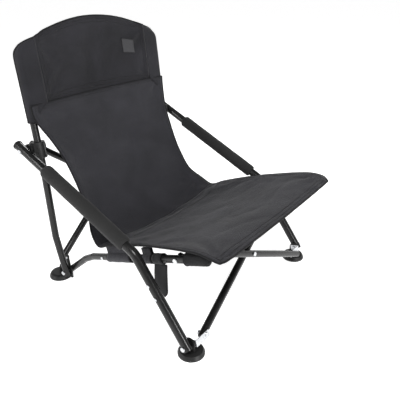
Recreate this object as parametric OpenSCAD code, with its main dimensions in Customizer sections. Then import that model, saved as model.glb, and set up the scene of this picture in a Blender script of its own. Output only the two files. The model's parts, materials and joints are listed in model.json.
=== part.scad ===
// Folding camp chair: bent arm and leg tubes, crossed front and rear tubes, sliding collars,
// a fabric sling hung on the uprights and the side tubes. Millimetres, +Z up, front towards -Y.

/* [Tubes] */
// Outer diameter of the thin frame tubes
thin_d = 18; // [14:1:18]
// Outer diameter of the arm and leg tubes
thick_d = 22; // [18:1:22]
// Wall thickness of every tube
wall = 1.2; // [0.8:0.1:2]
// Outer diameter of the foam grips
foam_d = 34; // [28:1:34]

/* [Feet] */
// Diameter of the foot dishes
foot_d = 62; // [50:1:62]
// Height of the foot dishes
foot_h = 13; // [8:1:14]

/* [Fabric] */
// Thickness of the sling cloth
cloth = 3; // [2:0.5:3.5]
// Height of the middle of the headrest top
arch_z = 666; // [650:1:672]
// How far the middle of the seat sags
seat_sag = 22; // [5:1:28]

/* [Hardware] */
// Diameter of the rivets and bolts
pin_d = 6; // [4:0.5:6]
// Diameter of the rivet heads
head_d = 11; // [9:0.5:12]
// Running clearance on each side of a pin
play = 0.05; // [0.02:0.01:0.1]

/* [Hidden] */
$fn = 48;
// shift that centres the chair on the origin
ys = 249.8;
// lean of the uprights and the rear foot pivot
lean = 7;
ry = 454 - ys;
rz = 26;
// planes of the uprights, side tubes and leg tubes, on the left
xu = 231;
xc = 208;
xa = 268;
// front and rear crossed tubes: pivot planes
xf = 213;
xr = 213;
// collar height along the upright, arm pivot behind it
s0 = 352;
ve = -8;
// front foot pivot and bend of the leg tube
fy = 10 - ys;
fz = 30;
ky = 150 - ys;
kz = 214;
// side tube: bend, front tip, outward flare past the bend, bracket bolt
by = 378 - ys;
bz = 92;
ty = -32 - ys;
tz = 258;
flare = 0.105;
gy = 49 - ys;
gz = bz + (by - gy) * (tz - bz) / (by - ty);
// rear crossed tubes: bottom and top pivots along the upright
rb = 30;
rt = s0 - 3;
// planes of the crossed tubes
ga = 28;
gb = 47;
fa = 5;
fb = 25;
run = pin_d + 2 * play;
// front crossed tubes: lean back and rise
tilt = 15;
hf = 199;
af = atan2(hf, 2 * xf);
ar = atan2(rt - rb, 2 * xr);

function up_pt(u, v) = [ry + u * sin(lean) - v * cos(lean), rz + u * cos(lean) + v * sin(lean)];
e_pt = up_pt(s0, ve);
arm_a = atan2(e_pt[1] - kz, e_pt[0] - ky);
arm_end = [e_pt[0] + 22 * cos(arm_a), e_pt[1] + 22 * sin(arm_a)];
function on_side(y) = bz + (by - y) * (tz - bz) / (by - ty);
function cx(y) = xc + (by - y) * flare;
function c_pt(y) = [cx(y), y, on_side(y)];
function xf_y(n, h) = fy + h * sin(tilt) - n * cos(tilt);
function xf_z(n, h) = fz + h * cos(tilt) + n * sin(tilt);
side_a = atan2(tz - bz, norm([by - ty, (by - ty) * flare]));

// frames
module upf() { translate([0, ry, rz]) rotate([-lean, 0, 0]) children(); }
module xff() { translate([0, fy, fz]) rotate([-tilt, 0, 0]) children(); }
module right() { mirror([1, 0, 0]) children(); }
// frame on the side tube at y: forwards is local -Y, up is local +Z
module on_c(y) { translate(c_pt(y)) rotate([-side_a, 0, atan(flare)]) children(); }
// rod along X from x0 to x1
module xrod(x0, x1, y, z, d) { translate([x0, y, z]) rotate([0, 90, 0]) cylinder(d = d, h = x1 - x0); }
// rod along Y from y0 to y1
module yrod(x, y0, y1, z, d) { translate([x, y1, z]) rotate([90, 0, 0]) cylinder(d = d, h = y1 - y0); }
// straight rod between two points
module rod(p, q, d) {
  w = q - p;
  translate(p) rotate([0, acos(w[2] / norm(w)), atan2(w[1], w[0])]) cylinder(d = d, h = norm(w));
}
// bent tube in the plane of X = x, through the corner k with bend radius r, open at p
// and closed for the last c mm before q
module bent(x, p, k, q, d, r, c) {
  u1 = (p - k) / norm(p - k);
  u2 = (q - k) / norm(q - k);
  half = acos(u1 * u2) / 2;
  t = r / tan(half);
  o = k + (u1 + u2) / norm(u1 + u2) * (r / sin(half));
  t1 = k + u1 * t;
  t2 = k + u2 * t;
  a1 = atan2((t1 - o)[1], (t1 - o)[0]);
  a2 = atan2((t2 - o)[1], (t2 - o)[0]);
  dd = (a2 - a1 + 540) % 360 - 180;
  e = q - u2 * c;
  difference() {
    union() {
      rod([x, p[0], p[1]], [x, t1[0] - u1[0], t1[1] - u1[1]], d);
      rod([x, t2[0] - u2[0], t2[1] - u2[1]], [x, q[0], q[1]], d);
      arc(x, o, dd > 0 ? a1 : a2, abs(dd), r, d + 0.3);
    }
    rod([x, p[0] + u1[0], p[1] + u1[1]], [x, t1[0] - u1[0], t1[1] - u1[1]], d - 2 * wall);
    rod([x, t2[0] - u2[0], t2[1] - u2[1]], [x, e[0], e[1]], d - 2 * wall);
    arc(x, o, dd > 0 ? a1 : a2, abs(dd), r, d - 2 * wall + 0.3);
  }
}
// arc of a bent tube, a little past both ends
module arc(x, o, a, dd, r, d) {
  translate([x, o[0], o[1]]) rotate([90, 0, 90]) rotate([0, 0, a - 1])
    rotate_extrude(angle = dd + 2) translate([r, 0]) circle(d = d);
}

module upright() {
  color([0.09, 0.09, 0.1]) upf() difference() {
    union() {
      rod([xu, -1.5, -12], [xu, 13, 105], thin_d);
      rod([xu, 13, 105], [xu, 0, 290], thin_d);
      translate([xu, 0, 290]) cylinder(d = thin_d, h = 285);
      for (p = [[13, 105], [0, 290]]) translate([xu, p[0], p[1]]) sphere(d = thin_d + 0.2);
    }
    rod([xu, 1.4, 12], [xu, 13, 105], thin_d - 2 * wall);
    rod([xu, 13, 105], [xu, 0, 290], thin_d - 2 * wall);
    translate([xu, 0, 290]) cylinder(d = thin_d - 2 * wall, h = 310);
    for (p = [[13, 105], [0, 290]]) translate([xu, p[0], p[1]]) sphere(d = thin_d - 2 * wall + 0.2);
    xrod(xu - 20, xu + 20, 0, 0, pin_d);
  }
}
module upright_cap() {
  color([0.05, 0.05, 0.05]) upf() {
    translate([xu, 0, 563]) cylinder(d = thin_d - 2 * wall, h = 12);
    translate([xu, 0, 575]) cylinder(d = thin_d, h = 3);
  }
}
module collar() {
  color([0.06, 0.06, 0.06]) upf() difference() {
    union() {
      translate([xu, 0, s0 - 26]) cylinder(d = 30, h = 40);
      translate([xu, 0, s0 - 26]) cylinder(d = 33, h = 5);
      translate([xu, 0, s0 + 9]) cylinder(d = 33, h = 5);
      // outer ear that carries the arm
      translate([xu + 10, -11, s0 - 11]) cube([11, 25, 22]);
      xrod(xu + 9, xa - thick_d / 2 - 0.6, -ve, s0, 26);
      // inner ear that carries the rear crossed tube
      translate([xr - 8, 7, rt - 9]) cube([15, 10.5, 18]);
      yrod(xr, 10, 18.5, rt, 21);
    }
    translate([xu, 0, s0 - 40]) cylinder(d = thin_d + 2 * play, h = 80);
    xrod(xu + 15, xa, -ve, s0, pin_d);
    yrod(xr, 5, 60, rt, pin_d);
  }
}
// pin of the rear crossed tube at the collar, b side on the right, a side on the left
module collar_pin(gc) {
  color([0.75, 0.76, 0.78]) upf() {
    yrod(xr, 18.7, gc + 9.3, rt, pin_d);
    yrod(xr, 10, 18.7, rt, pin_d);
    yrod(xr, gc + 9.3, gc + 11.8, rt, head_d);
    if (gc > 30) yrod(xr, 18.8, gc - 9.3, rt, 10);
  }
}
module arm_tube() {
  f2 = [fy, fz];
  k2 = [ky, kz];
  color([0.1, 0.1, 0.11]) difference() {
    bent(xa, arm_end, k2, f2 + (f2 - k2) / norm(f2 - k2) * 9, thick_d, 45, 18);
    xrod(xa - 20, xa + 20, e_pt[0], e_pt[1], run);
    xrod(xa - 20, xa + 20, fy, fz, run);
    // clip rivets
    for (t = [0.33, 0.47])
      xrod(xa, xa + 20, ky + t * (fy - ky), kz + t * (fz - kz), 4);
  }
}
module arm_cap() {
  k2 = [ky, kz];
  w = (arm_end - k2) / norm(arm_end - k2);
  p = [xa, arm_end[0], arm_end[1]];
  d3 = [0, w[0], w[1]];
  color([0.05, 0.05, 0.05]) {
    rod(p - d3 * 8, p, thick_d - 2 * wall);
    rod(p, p + d3 * 4, thick_d + 2);
    rod(p + d3 * 4, p + d3 * 6.5, thick_d - 4);
  }
}
module arm_grip() {
  k2 = [ky, kz];
  w = (e_pt - k2) / norm(e_pt - k2);
  a = e_pt - w * 82;
  b = k2 + w * 30;
  color([0.16, 0.16, 0.17]) difference() {
    union() {
      rod([xa, a[0], a[1]], [xa, b[0], b[1]], foam_d);
      rod([xa, a[0] + w[0] * 3, a[1] + w[1] * 3], [xa, b[0] - w[0] * 3, b[1] - w[1] * 3], foam_d - 6);
    }
    rod([xa, a[0] + w[0] * 5, a[1] + w[1] * 5], [xa, b[0] - w[0] * 5, b[1] - w[1] * 5], thick_d);
  }
}
module arm_bolt() {
  color([0.78, 0.79, 0.8]) {
    xrod(xu + 16, xa + thick_d / 2 + 0.4, e_pt[0], e_pt[1], pin_d);
    xrod(xa + thick_d / 2 + 0.4, xa + thick_d / 2 + 3, e_pt[0], e_pt[1], head_d);
  }
}
module leg_clip() {
  color([0.72, 0.73, 0.75]) for (t = [0.33, 0.47]) {
    y = ky + t * (fy - ky);
    z = kz + t * (fz - kz);
    xrod(xa + 8, xa + thick_d / 2 + 0.8, y, z, 4);
    xrod(xa + thick_d / 2 + 0.8, xa + thick_d / 2 + 2.4, y, z, 9);
  }
}
module dish(x, y) {
  translate([x, y, 0]) {
    cylinder(d = foot_d, h = 4);
    translate([0, 0, 4]) cylinder(d1 = foot_d, d2 = foot_d - 8, h = foot_h - 6);
    translate([0, 0, foot_h - 2]) cylinder(d1 = foot_d - 8, d2 = foot_d - 22, h = 2);
  }
}
module front_foot() {
  color([0.05, 0.05, 0.05]) difference() {
    union() {
      dish(250, fy);
      // web between the leg tube and the metal tab
      translate([252.2, fy - 13, 5]) cube([4.2, 26, fz - 5]);
      xrod(252.2, 256.4, fy, fz, 27);
    }
    xrod(240, 260, fy, fz, pin_d);
  }
}
module front_foot_bolt() {
  color([0.78, 0.79, 0.8]) {
    xrod(247.4, 249.8, fy, fz, head_d);
    xrod(249.8, xa + thick_d / 2 + 0.4, fy, fz, pin_d);
    xrod(xa + thick_d / 2 + 0.4, xa + thick_d / 2 + 3, fy, fz, head_d);
  }
}
// metal tab on the front foot: a plate at depth n beside the crossed tube, a wing on the web
module front_tab(n, pin) {
  color([0.7, 0.71, 0.73]) {
    xff() difference() {
      union() {
        translate([xf - 9, -n - 2, -8]) cube([251 - xf + 9, 2, 16]);
        translate([250, -n - 2, -8]) cube([2, n + 11, 16]);
      }
      xrod(240, 260, 0, 0, pin_d);
      if (pin) yrod(xf, -60, 60, 0, pin_d);
    }
    if (pin) xff() {
      yrod(xf, -n - 4.4, -n - 2, 0, head_d);
      yrod(xf, -n - 2, 4.4, 0, pin_d);
      yrod(xf, 4.4, 6.8, 0, head_d);
    }
  }
}
module side_tube() {
  r3 = [xc, ry, rz];
  p1 = c_pt(by - 20);
  u = [0, by - ry, bz - rz] / norm([by - ry, bz - rz]);
  p2 = [xc, by, bz] - u * 20;
  p0 = c_pt(ty);
  w = (p0 - p1) / norm(p0 - p1);
  color([0.09, 0.09, 0.1]) difference() {
    union() {
      rod(p0, p1, thin_d);
      rod(p1, p2, thin_d);
      rod(p2, r3 - u * 9, thin_d);
      for (p = [p1, p2]) translate(p) sphere(d = thin_d + 0.3);
    }
    rod(p0 + w, p1, thin_d - 2 * wall);
    rod(p1, p2, thin_d - 2 * wall);
    rod(p2, r3 + u * 9, thin_d - 2 * wall);
    for (p = [p1, p2]) translate(p) sphere(d = thin_d - 2 * wall + 0.3);
    xrod(xc - 20, xc + 20, ry, rz, run);
    xrod(cx(gy) - 20, cx(gy) + 20, gy, gz, run);
    xrod(cx(308 - ys) - 20, cx(308 - ys) + 20, 308 - ys, on_side(308 - ys), 4);
  }
}
// cloth loops round the side tube with a web up to the seat
module side_sleeves() {
  color([0.2, 0.2, 0.22]) for (r = [[284, 94, 16], [152, 30, 13]]) on_c(r[0] - ys) difference() {
    union() {
      yrod(0, -r[1], 0, 0, thin_d + 4.4);
      translate([-1.5, -r[1], thin_d / 2]) cube([3, r[1], r[2]]);
    }
    yrod(0, -r[1] - 1, 1, 0, thin_d + 0.4);
  }
}
// cloth pocket over the front tip of the side tube
module corner_pocket() {
  color([0.15, 0.15, 0.16]) on_c(ty) difference() {
    yrod(0, -2.5, 60, 0, thin_d + 5);
    yrod(0, 0, 80, 0, thin_d + 0.4);
  }
}
// flat bracket on the inner side of the side tube, up to the end of the crossed tube at depth n
module bracket(n) {
  x0 = cx(gy) - 12.6;
  yt = xf_y(n, hf);
  zt = xf_z(n, hf);
  color([0.1, 0.1, 0.11]) difference() {
    union() {
      xrod(x0, x0 + 1.6, gy, gz, 20);
      xrod(x0, x0 + 1.6, yt, zt, 17);
      translate([x0, gy, gz]) rotate([atan2(zt - gz, yt - gy), 0, 0])
        translate([0, 0, -6]) cube([1.6, norm([yt - gy, zt - gz]), 12]);
    }
    xrod(x0 - 5, x0 + 5, gy, gz, pin_d);
  }
}
module bracket_bolt() {
  x0 = cx(gy);
  color([0.78, 0.79, 0.8]) {
    xrod(x0 - 14.6, x0 - 12.6, gy, gz, head_d);
    xrod(x0 - 12.6, x0 + 9.6, gy, gz, pin_d);
    xrod(x0 + 9.6, x0 + 11.8, gy, gz, head_d);
    // rivet in the rear of the side tube
    xrod(cx(308 - ys) - 10.4, cx(308 - ys) + 9.6, 308 - ys, on_side(308 - ys), 4);
    xrod(cx(308 - ys) + 9.6, cx(308 - ys) + 11.2, 308 - ys, on_side(308 - ys), 8);
  }
}
module rear_foot() {
  color([0.05, 0.05, 0.05]) difference() {
    union() {
      dish(226, ry + 32);
      // web between the upright and the side tube
      translate([217.4, ry - 11, 5]) cube([4.2, 52, rz - 3]);
      xrod(217.4, 221.6, ry, rz, 24);
      // ear that carries the rear crossed tube
      upf() translate([xr - 9, 13, rb - 30]) cube([17.6, 5.4, 34]);
      upf() yrod(xr, 13, 18.4, rb, 20);
    }
    xrod(210, 230, ry, rz, pin_d);
    upf() yrod(xr, 5, 60, rb, pin_d);
    translate([180, ry - 60, -20]) cube([90, 160, 20]);
  }
}
module rear_foot_bolt() {
  color([0.78, 0.79, 0.8]) {
    xrod(xc - thin_d / 2 - 2.4, xc - thin_d / 2 - 0.4, ry, rz, head_d);
    xrod(xc - thin_d / 2 - 0.4, xu + thin_d / 2, ry, rz, pin_d);
    xrod(xu + thin_d / 2, xu + thin_d / 2 + 2.6, ry, rz, head_d);
  }
}
module rear_pin(gc) {
  color([0.75, 0.76, 0.78]) upf() {
    yrod(xr, 13, gc + 9.3, rb, pin_d);
    yrod(xr, gc + 9.3, gc + 11.8, rb, head_d);
    if (gc > 30) yrod(xr, 18.4, gc - 9.3, rb, 10);
  }
}
module back_sleeve() {
  color([0.2, 0.2, 0.22]) upf() difference() {
    translate([0, 0, 458]) linear_extrude(height = 124) union() {
      translate([xu, 0]) circle(d = thin_d + 6);
      polygon([[xu, -12], [xu - 44, -12], [xu - 44, -8.5], [xu - 3, -6]]);
      polygon([[xu, -12], [xu + 14, -9], [xu + 14, -5], [xu, -4]]);
    }
    translate([xu, 0, 390]) cylinder(d = thin_d + 0.6, h = 215);
  }
}

// crossed tube: flat tube from (-w, 0) up to (w, h) in the plane y = 0 of its frame,
// with a bore at the bottom, middle and top wherever the given diameter is above zero
module cross_tube(w, h, bores) {
  a = atan2(h, 2 * w);
  l = norm([2 * w, h]);
  translate([-w, 0, 0]) rotate([0, 90 - a, 0]) difference() {
    translate([0, 0, -8]) cylinder(d = thin_d, h = l + 16);
    translate([0, 0, -9]) cylinder(d = thin_d - 2 * wall, h = l + 18);
    for (i = [0:2]) if (bores[i] > 0) translate([0, 20, i * l / 2]) rotate([90, 0, 0]) cylinder(d = bores[i], h = 40);
  }
}
module cross_plugs(w, h) {
  a = atan2(h, 2 * w);
  l = norm([2 * w, h]);
  translate([-w, 0, 0]) rotate([0, 90 - a, 0]) for (m = [0, 1])
    translate([0, 0, m * l]) mirror([0, 0, m]) {
      translate([0, 0, -8]) cylinder(d = thin_d - 2 * wall, h = 4);
      translate([0, 0, -9.5]) cylinder(d = thin_d - 1, h = 1.5);
    }
}
// rivet through the crossing of two tubes at depths d0 < d1
module cross_rivet(h, d0, d1) {
  color([0.78, 0.79, 0.8]) {
    yrod(0, d0 - 9.3, d1 + 9.3, h / 2, pin_d);
    yrod(0, d0 - 11.6, d0 - 9.3, h / 2, head_d);
    yrod(0, d1 + 9.3, d1 + 11.6, h / 2, head_d);
  }
}
black = [0.1, 0.1, 0.11];
plug = [0.05, 0.05, 0.05];
module front_x_a() { color(black) xff() translate([0, -fa, 0]) cross_tube(xf, hf, [run, pin_d, 0]); }
module front_x_a_plugs() { color(plug) xff() translate([0, -fa, 0]) cross_plugs(xf, hf); }
module front_x_b() { color(black) xff() translate([0, -fb, 0]) right() cross_tube(xf, hf, [0, run, 0]); }
module front_x_b_plugs() { color(plug) xff() translate([0, -fb, 0]) right() cross_plugs(xf, hf); }
module front_x_rivet() { xff() cross_rivet(hf, -fb, -fa); }
module rear_x_a() { color(black) upf() translate([0, ga, rb]) cross_tube(xr, rt - rb, [run, pin_d, run]); }
module rear_x_a_plugs() { color(plug) upf() translate([0, ga, rb]) cross_plugs(xr, rt - rb); }
module rear_x_b() {
  color(black) upf() translate([0, gb, rb]) right() cross_tube(xr, rt - rb, [run, run, run]);
}
module rear_x_b_plugs() { color(plug) upf() translate([0, gb, rb]) right() cross_plugs(xr, rt - rb); }
module rear_x_rivet() { upf() translate([0, 0, rb]) cross_rivet(rt - rb, ga, gb); }

// closed cloth from a grid of points g[i][j] and its copy moved by t[i]
module cloth_sheet(g, t) {
  ni = len(g);
  nj = len(g[0]);
  m = ni * nj;
  pts = concat([for (i = [0:ni - 1]) for (j = [0:nj - 1]) g[i][j]],
    [for (i = [0:ni - 1]) for (j = [0:nj - 1]) g[i][j] + t[i]]);
  top = [for (i = [0:ni - 2]) for (j = [0:nj - 2]) let (a = i * nj + j)
    each [[a, a + 1, a + nj + 1], [a, a + nj + 1, a + nj]]];
  bot = [for (f = top) [f[2] + m, f[1] + m, f[0] + m]];
  s0a = [for (j = [0:nj - 2]) each [[j + 1, j, j + m], [j + 1, j + m, j + 1 + m]]];
  b0 = (ni - 1) * nj;
  s1a = [for (j = [0:nj - 2]) each [[b0 + j, b0 + j + 1, b0 + j + m], [b0 + j + 1, b0 + j + 1 + m, b0 + j + m]]];
  s2a = [for (i = [0:ni - 2]) let (a = i * nj) each [[a, a + nj, a + m], [a + nj, a + nj + m, a + m]]];
  s3a = [for (i = [0:ni - 2]) let (a = i * nj + nj - 1)
    each [[a + nj, a, a + m], [a + nj, a + m, a + nj + m]]];
  polyhedron(points = pts, faces = concat(top, bot, s0a, s1a, s2a, s3a), convexity = 4);
}
function sq(a) = a * a;
// headrest: from the seam up to the arched top, bowed back in the middle
hn = 8;
hj = 16;
hw = xu - 45;
function head_top(x) = 630 + (arch_z - 630) * (1 - sq(x / hw));
head_g = [for (i = [0:hn]) [for (j = [0:hj])
  let (x = -hw + 2 * hw * j / hj, u0 = 458, z = rz + u0 + (head_top(x) - rz - u0) * i / hn)
  [x, ry + (z - rz) * tan(lean) - 12 + 14 * (1 - sq(x / hw)), z]]];
// lower back: rows of half width, Y and Z of its edges, from the seam to the crease
rows = [[222, 497, 479.5], [222, 489, 440], [214, 464, 395], [203, 438, 350], [199, 413, 300],
  [200, 392, 260], [207, 365, 215], [229, 334, 184], [240, 304, 161]];
lb = len(rows) - 1;
lower_g = [for (i = [0:lb]) [for (j = [0:hj])
  let (t = i / lb, w = rows[i][0], x = -w + 2 * w * j / hj, b = 12 - 12 * t + 12 * sin(180 * t))
  [x, rows[i][1] - ys + b * (1 - sq(x / w)), rows[i][2] - seat_sag * t * (1 - sq(x / w))]]];
// seat: from its rear edge to the front hem, above the side tubes, sagging in the middle
sn = 12;
function lift(y) = y > 30 - ys ? 23 + (y - 30 + ys) * 0.05
  : y > -32 - ys ? 23 - (30 - ys - y) * 0.13 : 14.9 - (-32 - ys - y) * 0.44;
seat_g = [for (i = [0:sn]) [for (j = [0:hj])
  let (t = i / sn, y = (1 - t) * (298 - ys) + t * (-56 - ys), w = y > 150 - ys ? 240 : 240 + (150 - ys - y) * 0.1,
    x = -w + 2 * w * j / hj)
  [x, y, on_side(y) + lift(y) - seat_sag * sin(30 + 110 * (1 - t)) * (1 - sq(x / w))]]];

module headrest_panel() {
  color([0.24, 0.24, 0.26]) cloth_sheet(head_g, [for (i = [0:hn]) [0, cloth, 0]]);
}
module lower_back_panel() {
  color([0.25, 0.25, 0.27]) cloth_sheet(lower_g, [for (i = [0:lb]) [0, cloth * 0.8, -cloth * 0.6]]);
}
module seat_panel() {
  color([0.28, 0.28, 0.3]) cloth_sheet(seat_g, [for (i = [0:sn]) [0, 0, cloth]]);
}
module headrest_patch() {
  color([0.5, 0.5, 0.52]) translate([120, ry + (560 - rz) * tan(lean) - 11.5, 548]) cube([30, 1, 24]);
}
module side_strap() {
  color([0.08, 0.08, 0.08]) right() on_c(118 - ys) difference() {
    yrod(0, -28, 0, 0, thin_d + 5);
    yrod(0, -32, 4, 0, thin_d + 0.2);
  }
}
module hanging_tab() {
  x = cx(102 - ys) + 1.5;
  color([0.12, 0.12, 0.13]) translate([-x, 84 - ys, on_side(118 - ys) - 97]) cube([3, 36, 84]);
}
// cord in the hem that joins the headrest and the lower back
module hem_cord() {
  color([0.1, 0.1, 0.1]) xrod(-215, 215, 495.5 - ys, 481.7, 1.6);
}

right() upright();  // right_upright
upright();  // left_upright
right() upright_cap();  // right_upright_cap
upright_cap();  // left_upright_cap
right() collar();  // right_collar
collar();  // left_collar
right() collar_pin(gb);  // right_collar_pin
collar_pin(ga);  // left_collar_pin
right() arm_tube();  // right_arm_tube
arm_tube();  // left_arm_tube
right() arm_cap();  // right_arm_cap
arm_cap();  // left_arm_cap
right() arm_grip();  // right_arm_grip
arm_grip();  // left_arm_grip
right() arm_bolt();  // right_arm_bolt
arm_bolt();  // left_arm_bolt
right() leg_clip();  // right_leg_clip
leg_clip();  // left_leg_clip
right() front_foot();  // right_front_foot
front_foot();  // left_front_foot
right() front_foot_bolt();  // right_front_foot_bolt
front_foot_bolt();  // left_front_foot_bolt
right() front_tab(14.4, true);  // right_front_tab
front_tab(13.4, false);  // left_front_tab
right() side_tube();  // right_side_tube
side_tube();  // left_side_tube
right() side_sleeves();  // right_side_sleeves
side_sleeves();  // left_side_sleeves
right() corner_pocket();  // right_corner_pocket
corner_pocket();  // left_corner_pocket
right() bracket(fb);  // right_bracket
bracket(fa);  // left_bracket
right() bracket_bolt();  // right_bracket_bolt
bracket_bolt();  // left_bracket_bolt
right() rear_foot();  // right_rear_foot
rear_foot();  // left_rear_foot
right() rear_foot_bolt();  // right_rear_foot_bolt
rear_foot_bolt();  // left_rear_foot_bolt
right() rear_pin(ga);  // right_rear_pin
rear_pin(gb);  // left_rear_pin
right() back_sleeve();  // right_back_sleeve
back_sleeve();  // left_back_sleeve
front_x_a();
front_x_b();
front_x_a_plugs();
front_x_b_plugs();
front_x_rivet();
rear_x_a();
rear_x_b();
rear_x_a_plugs();
rear_x_b_plugs();
rear_x_rivet();
headrest_panel();
lower_back_panel();
seat_panel();
headrest_patch();
side_strap();
hanging_tab();
hem_cord();
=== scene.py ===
import json
import math

import bpy
import numpy as np
from mathutils import Matrix, Vector, noise


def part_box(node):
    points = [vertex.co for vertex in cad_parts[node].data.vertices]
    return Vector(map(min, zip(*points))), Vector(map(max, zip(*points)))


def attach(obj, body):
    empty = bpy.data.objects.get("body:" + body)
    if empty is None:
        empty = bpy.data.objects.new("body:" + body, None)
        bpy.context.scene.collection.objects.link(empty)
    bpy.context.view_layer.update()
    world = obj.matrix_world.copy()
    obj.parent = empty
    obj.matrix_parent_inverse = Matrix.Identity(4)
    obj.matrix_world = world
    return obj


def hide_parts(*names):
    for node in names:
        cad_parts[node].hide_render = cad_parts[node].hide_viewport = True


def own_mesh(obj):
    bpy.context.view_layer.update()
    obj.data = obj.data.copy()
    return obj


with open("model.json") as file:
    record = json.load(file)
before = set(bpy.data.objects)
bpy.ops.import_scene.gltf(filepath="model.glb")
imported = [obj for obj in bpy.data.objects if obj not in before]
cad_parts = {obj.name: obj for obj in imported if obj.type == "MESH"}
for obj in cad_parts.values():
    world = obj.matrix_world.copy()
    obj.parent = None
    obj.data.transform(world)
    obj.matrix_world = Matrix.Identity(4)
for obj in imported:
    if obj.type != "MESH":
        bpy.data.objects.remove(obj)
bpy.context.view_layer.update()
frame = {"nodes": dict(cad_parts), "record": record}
NODES = frame["nodes"]

# ---------------------------------------------------------------- places in the frame
# Lengths are millimetres in part.scad's frame, turned to metres by metres(). Y written out as a number counts
# back from the front feet; Y_SHIFT takes it to the frame's origin in the middle of the box.
Y_SHIFT = 249.8
LEAN = math.radians(7)                        # how far the uprights lean back
UPRIGHT_X = 231.0
UPRIGHT_Y, UPRIGHT_Z = 454 - Y_SHIFT, 26.0    # where the uprights' line starts
UPRIGHT_AXIS = (0, math.sin(LEAN), math.cos(LEAN))
ARM_X = 268.0
SIDE_X, SIDE_FLARE = 208, 0.105               # the side tubes spread towards the front
ROOT_Y, ROOT_Z = 378 - Y_SHIFT, 92.0          # rear end of a side tube's straight run
TIP_Y, TIP_Z = -32 - Y_SHIFT, 258.0           # its front tip
SIDES = ((-1, "right"), (1, "left"))


def metres(points):
    return np.asarray(points, float) / 1000.0


def side_point(y):
    """A point on the left side tube's straight run."""
    z = ROOT_Z + (ROOT_Y - y) * (TIP_Z - ROOT_Z) / (ROOT_Y - TIP_Y)
    return np.array([SIDE_X + (ROOT_Y - y) * SIDE_FLARE, y, z])


def upright_point(x, up, front=0.0):
    """A point in the uprights' plane: up the tube, and in front of it."""
    y = UPRIGHT_Y + up * math.sin(LEAN) - front * math.cos(LEAN)
    return np.array([x, y, UPRIGHT_Z + up * math.cos(LEAN) + front * math.sin(LEAN)])


def ripple(x, y, z):
    """Smooth noise from about -1 to 1."""
    return noise.noise(Vector((x, y, z)))


# ---------------------------------------------------------------- shader helpers
def new_material(name):
    material = bpy.data.materials.new(name)
    material.use_nodes = True
    tree = material.node_tree
    tree.nodes.clear()
    out = tree.nodes.new("ShaderNodeOutputMaterial")
    shader = tree.nodes.new("ShaderNodeBsdfPrincipled")
    tree.links.new(shader.outputs[0], out.inputs[0])
    return material, tree, shader


def add_node(tree, kind, **settings):
    """A node with its inputs or properties set by name."""
    new = tree.nodes.new(kind)
    for key, value in settings.items():
        if key in new.inputs:
            new.inputs[key].default_value = value
        else:
            setattr(new, key, value)
    return new


def space(tree, which="Object", scale=(1, 1, 1)):
    """Texture coordinates, scaled."""
    source = tree.nodes.new("ShaderNodeTexCoord")
    mapping = tree.nodes.new("ShaderNodeMapping")
    mapping.inputs["Scale"].default_value = scale
    tree.links.new(source.outputs[which], mapping.inputs["Vector"])
    return mapping.outputs[0]


def texture(tree, kind, where, **settings):
    """The first output of a Noise or Voronoi texture."""
    new = add_node(tree, "ShaderNodeTex" + kind, **settings)
    tree.links.new(where, new.inputs["Vector"])
    return new.outputs[0]


def grey(value):
    return (value, value, value)


def ramp(tree, source, low, high, start=0.3, end=0.7):
    new = tree.nodes.new("ShaderNodeValToRGB")
    for stop, position, colour in zip(new.color_ramp.elements, (start, end), (low, high)):
        stop.position = position
        stop.color = (*colour, 1)
    tree.links.new(source, new.inputs[0])
    return new.outputs[0]


def map_range(tree, source, from_low, from_high, to_low, to_high):
    limits = {"From Min": from_low, "From Max": from_high, "To Min": to_low, "To Max": to_high}
    new = add_node(tree, "ShaderNodeMapRange", **limits)
    tree.links.new(source, new.inputs["Value"])
    return new.outputs[0]


def bump(tree, shader, height, strength, distance, before=None):
    """Bumps on the shader's normal, on top of an earlier bump."""
    new = add_node(tree, "ShaderNodeBump", Strength=strength, Distance=distance)
    tree.links.new(height, new.inputs["Height"])
    if before is not None:
        tree.links.new(before, new.inputs["Normal"])
    tree.links.new(new.outputs[0], shader.inputs["Normal"])
    return new.outputs[0]


def maths(tree, operation, *operands):
    new = add_node(tree, "ShaderNodeMath", operation=operation)
    for socket, value in zip(new.inputs, operands):
        if isinstance(value, float):
            socket.default_value = value
        else:
            tree.links.new(value, socket)
    return new.outputs[0]


def multiply(tree, first, second):
    """The product of two colours."""
    new = add_node(tree, "ShaderNodeMix", data_type="RGBA", blend_type="MULTIPLY")
    new.inputs[0].default_value = 1.0
    tree.links.new(first, new.inputs[6])
    tree.links.new(second, new.inputs[7])
    return new.outputs[2]


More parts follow.
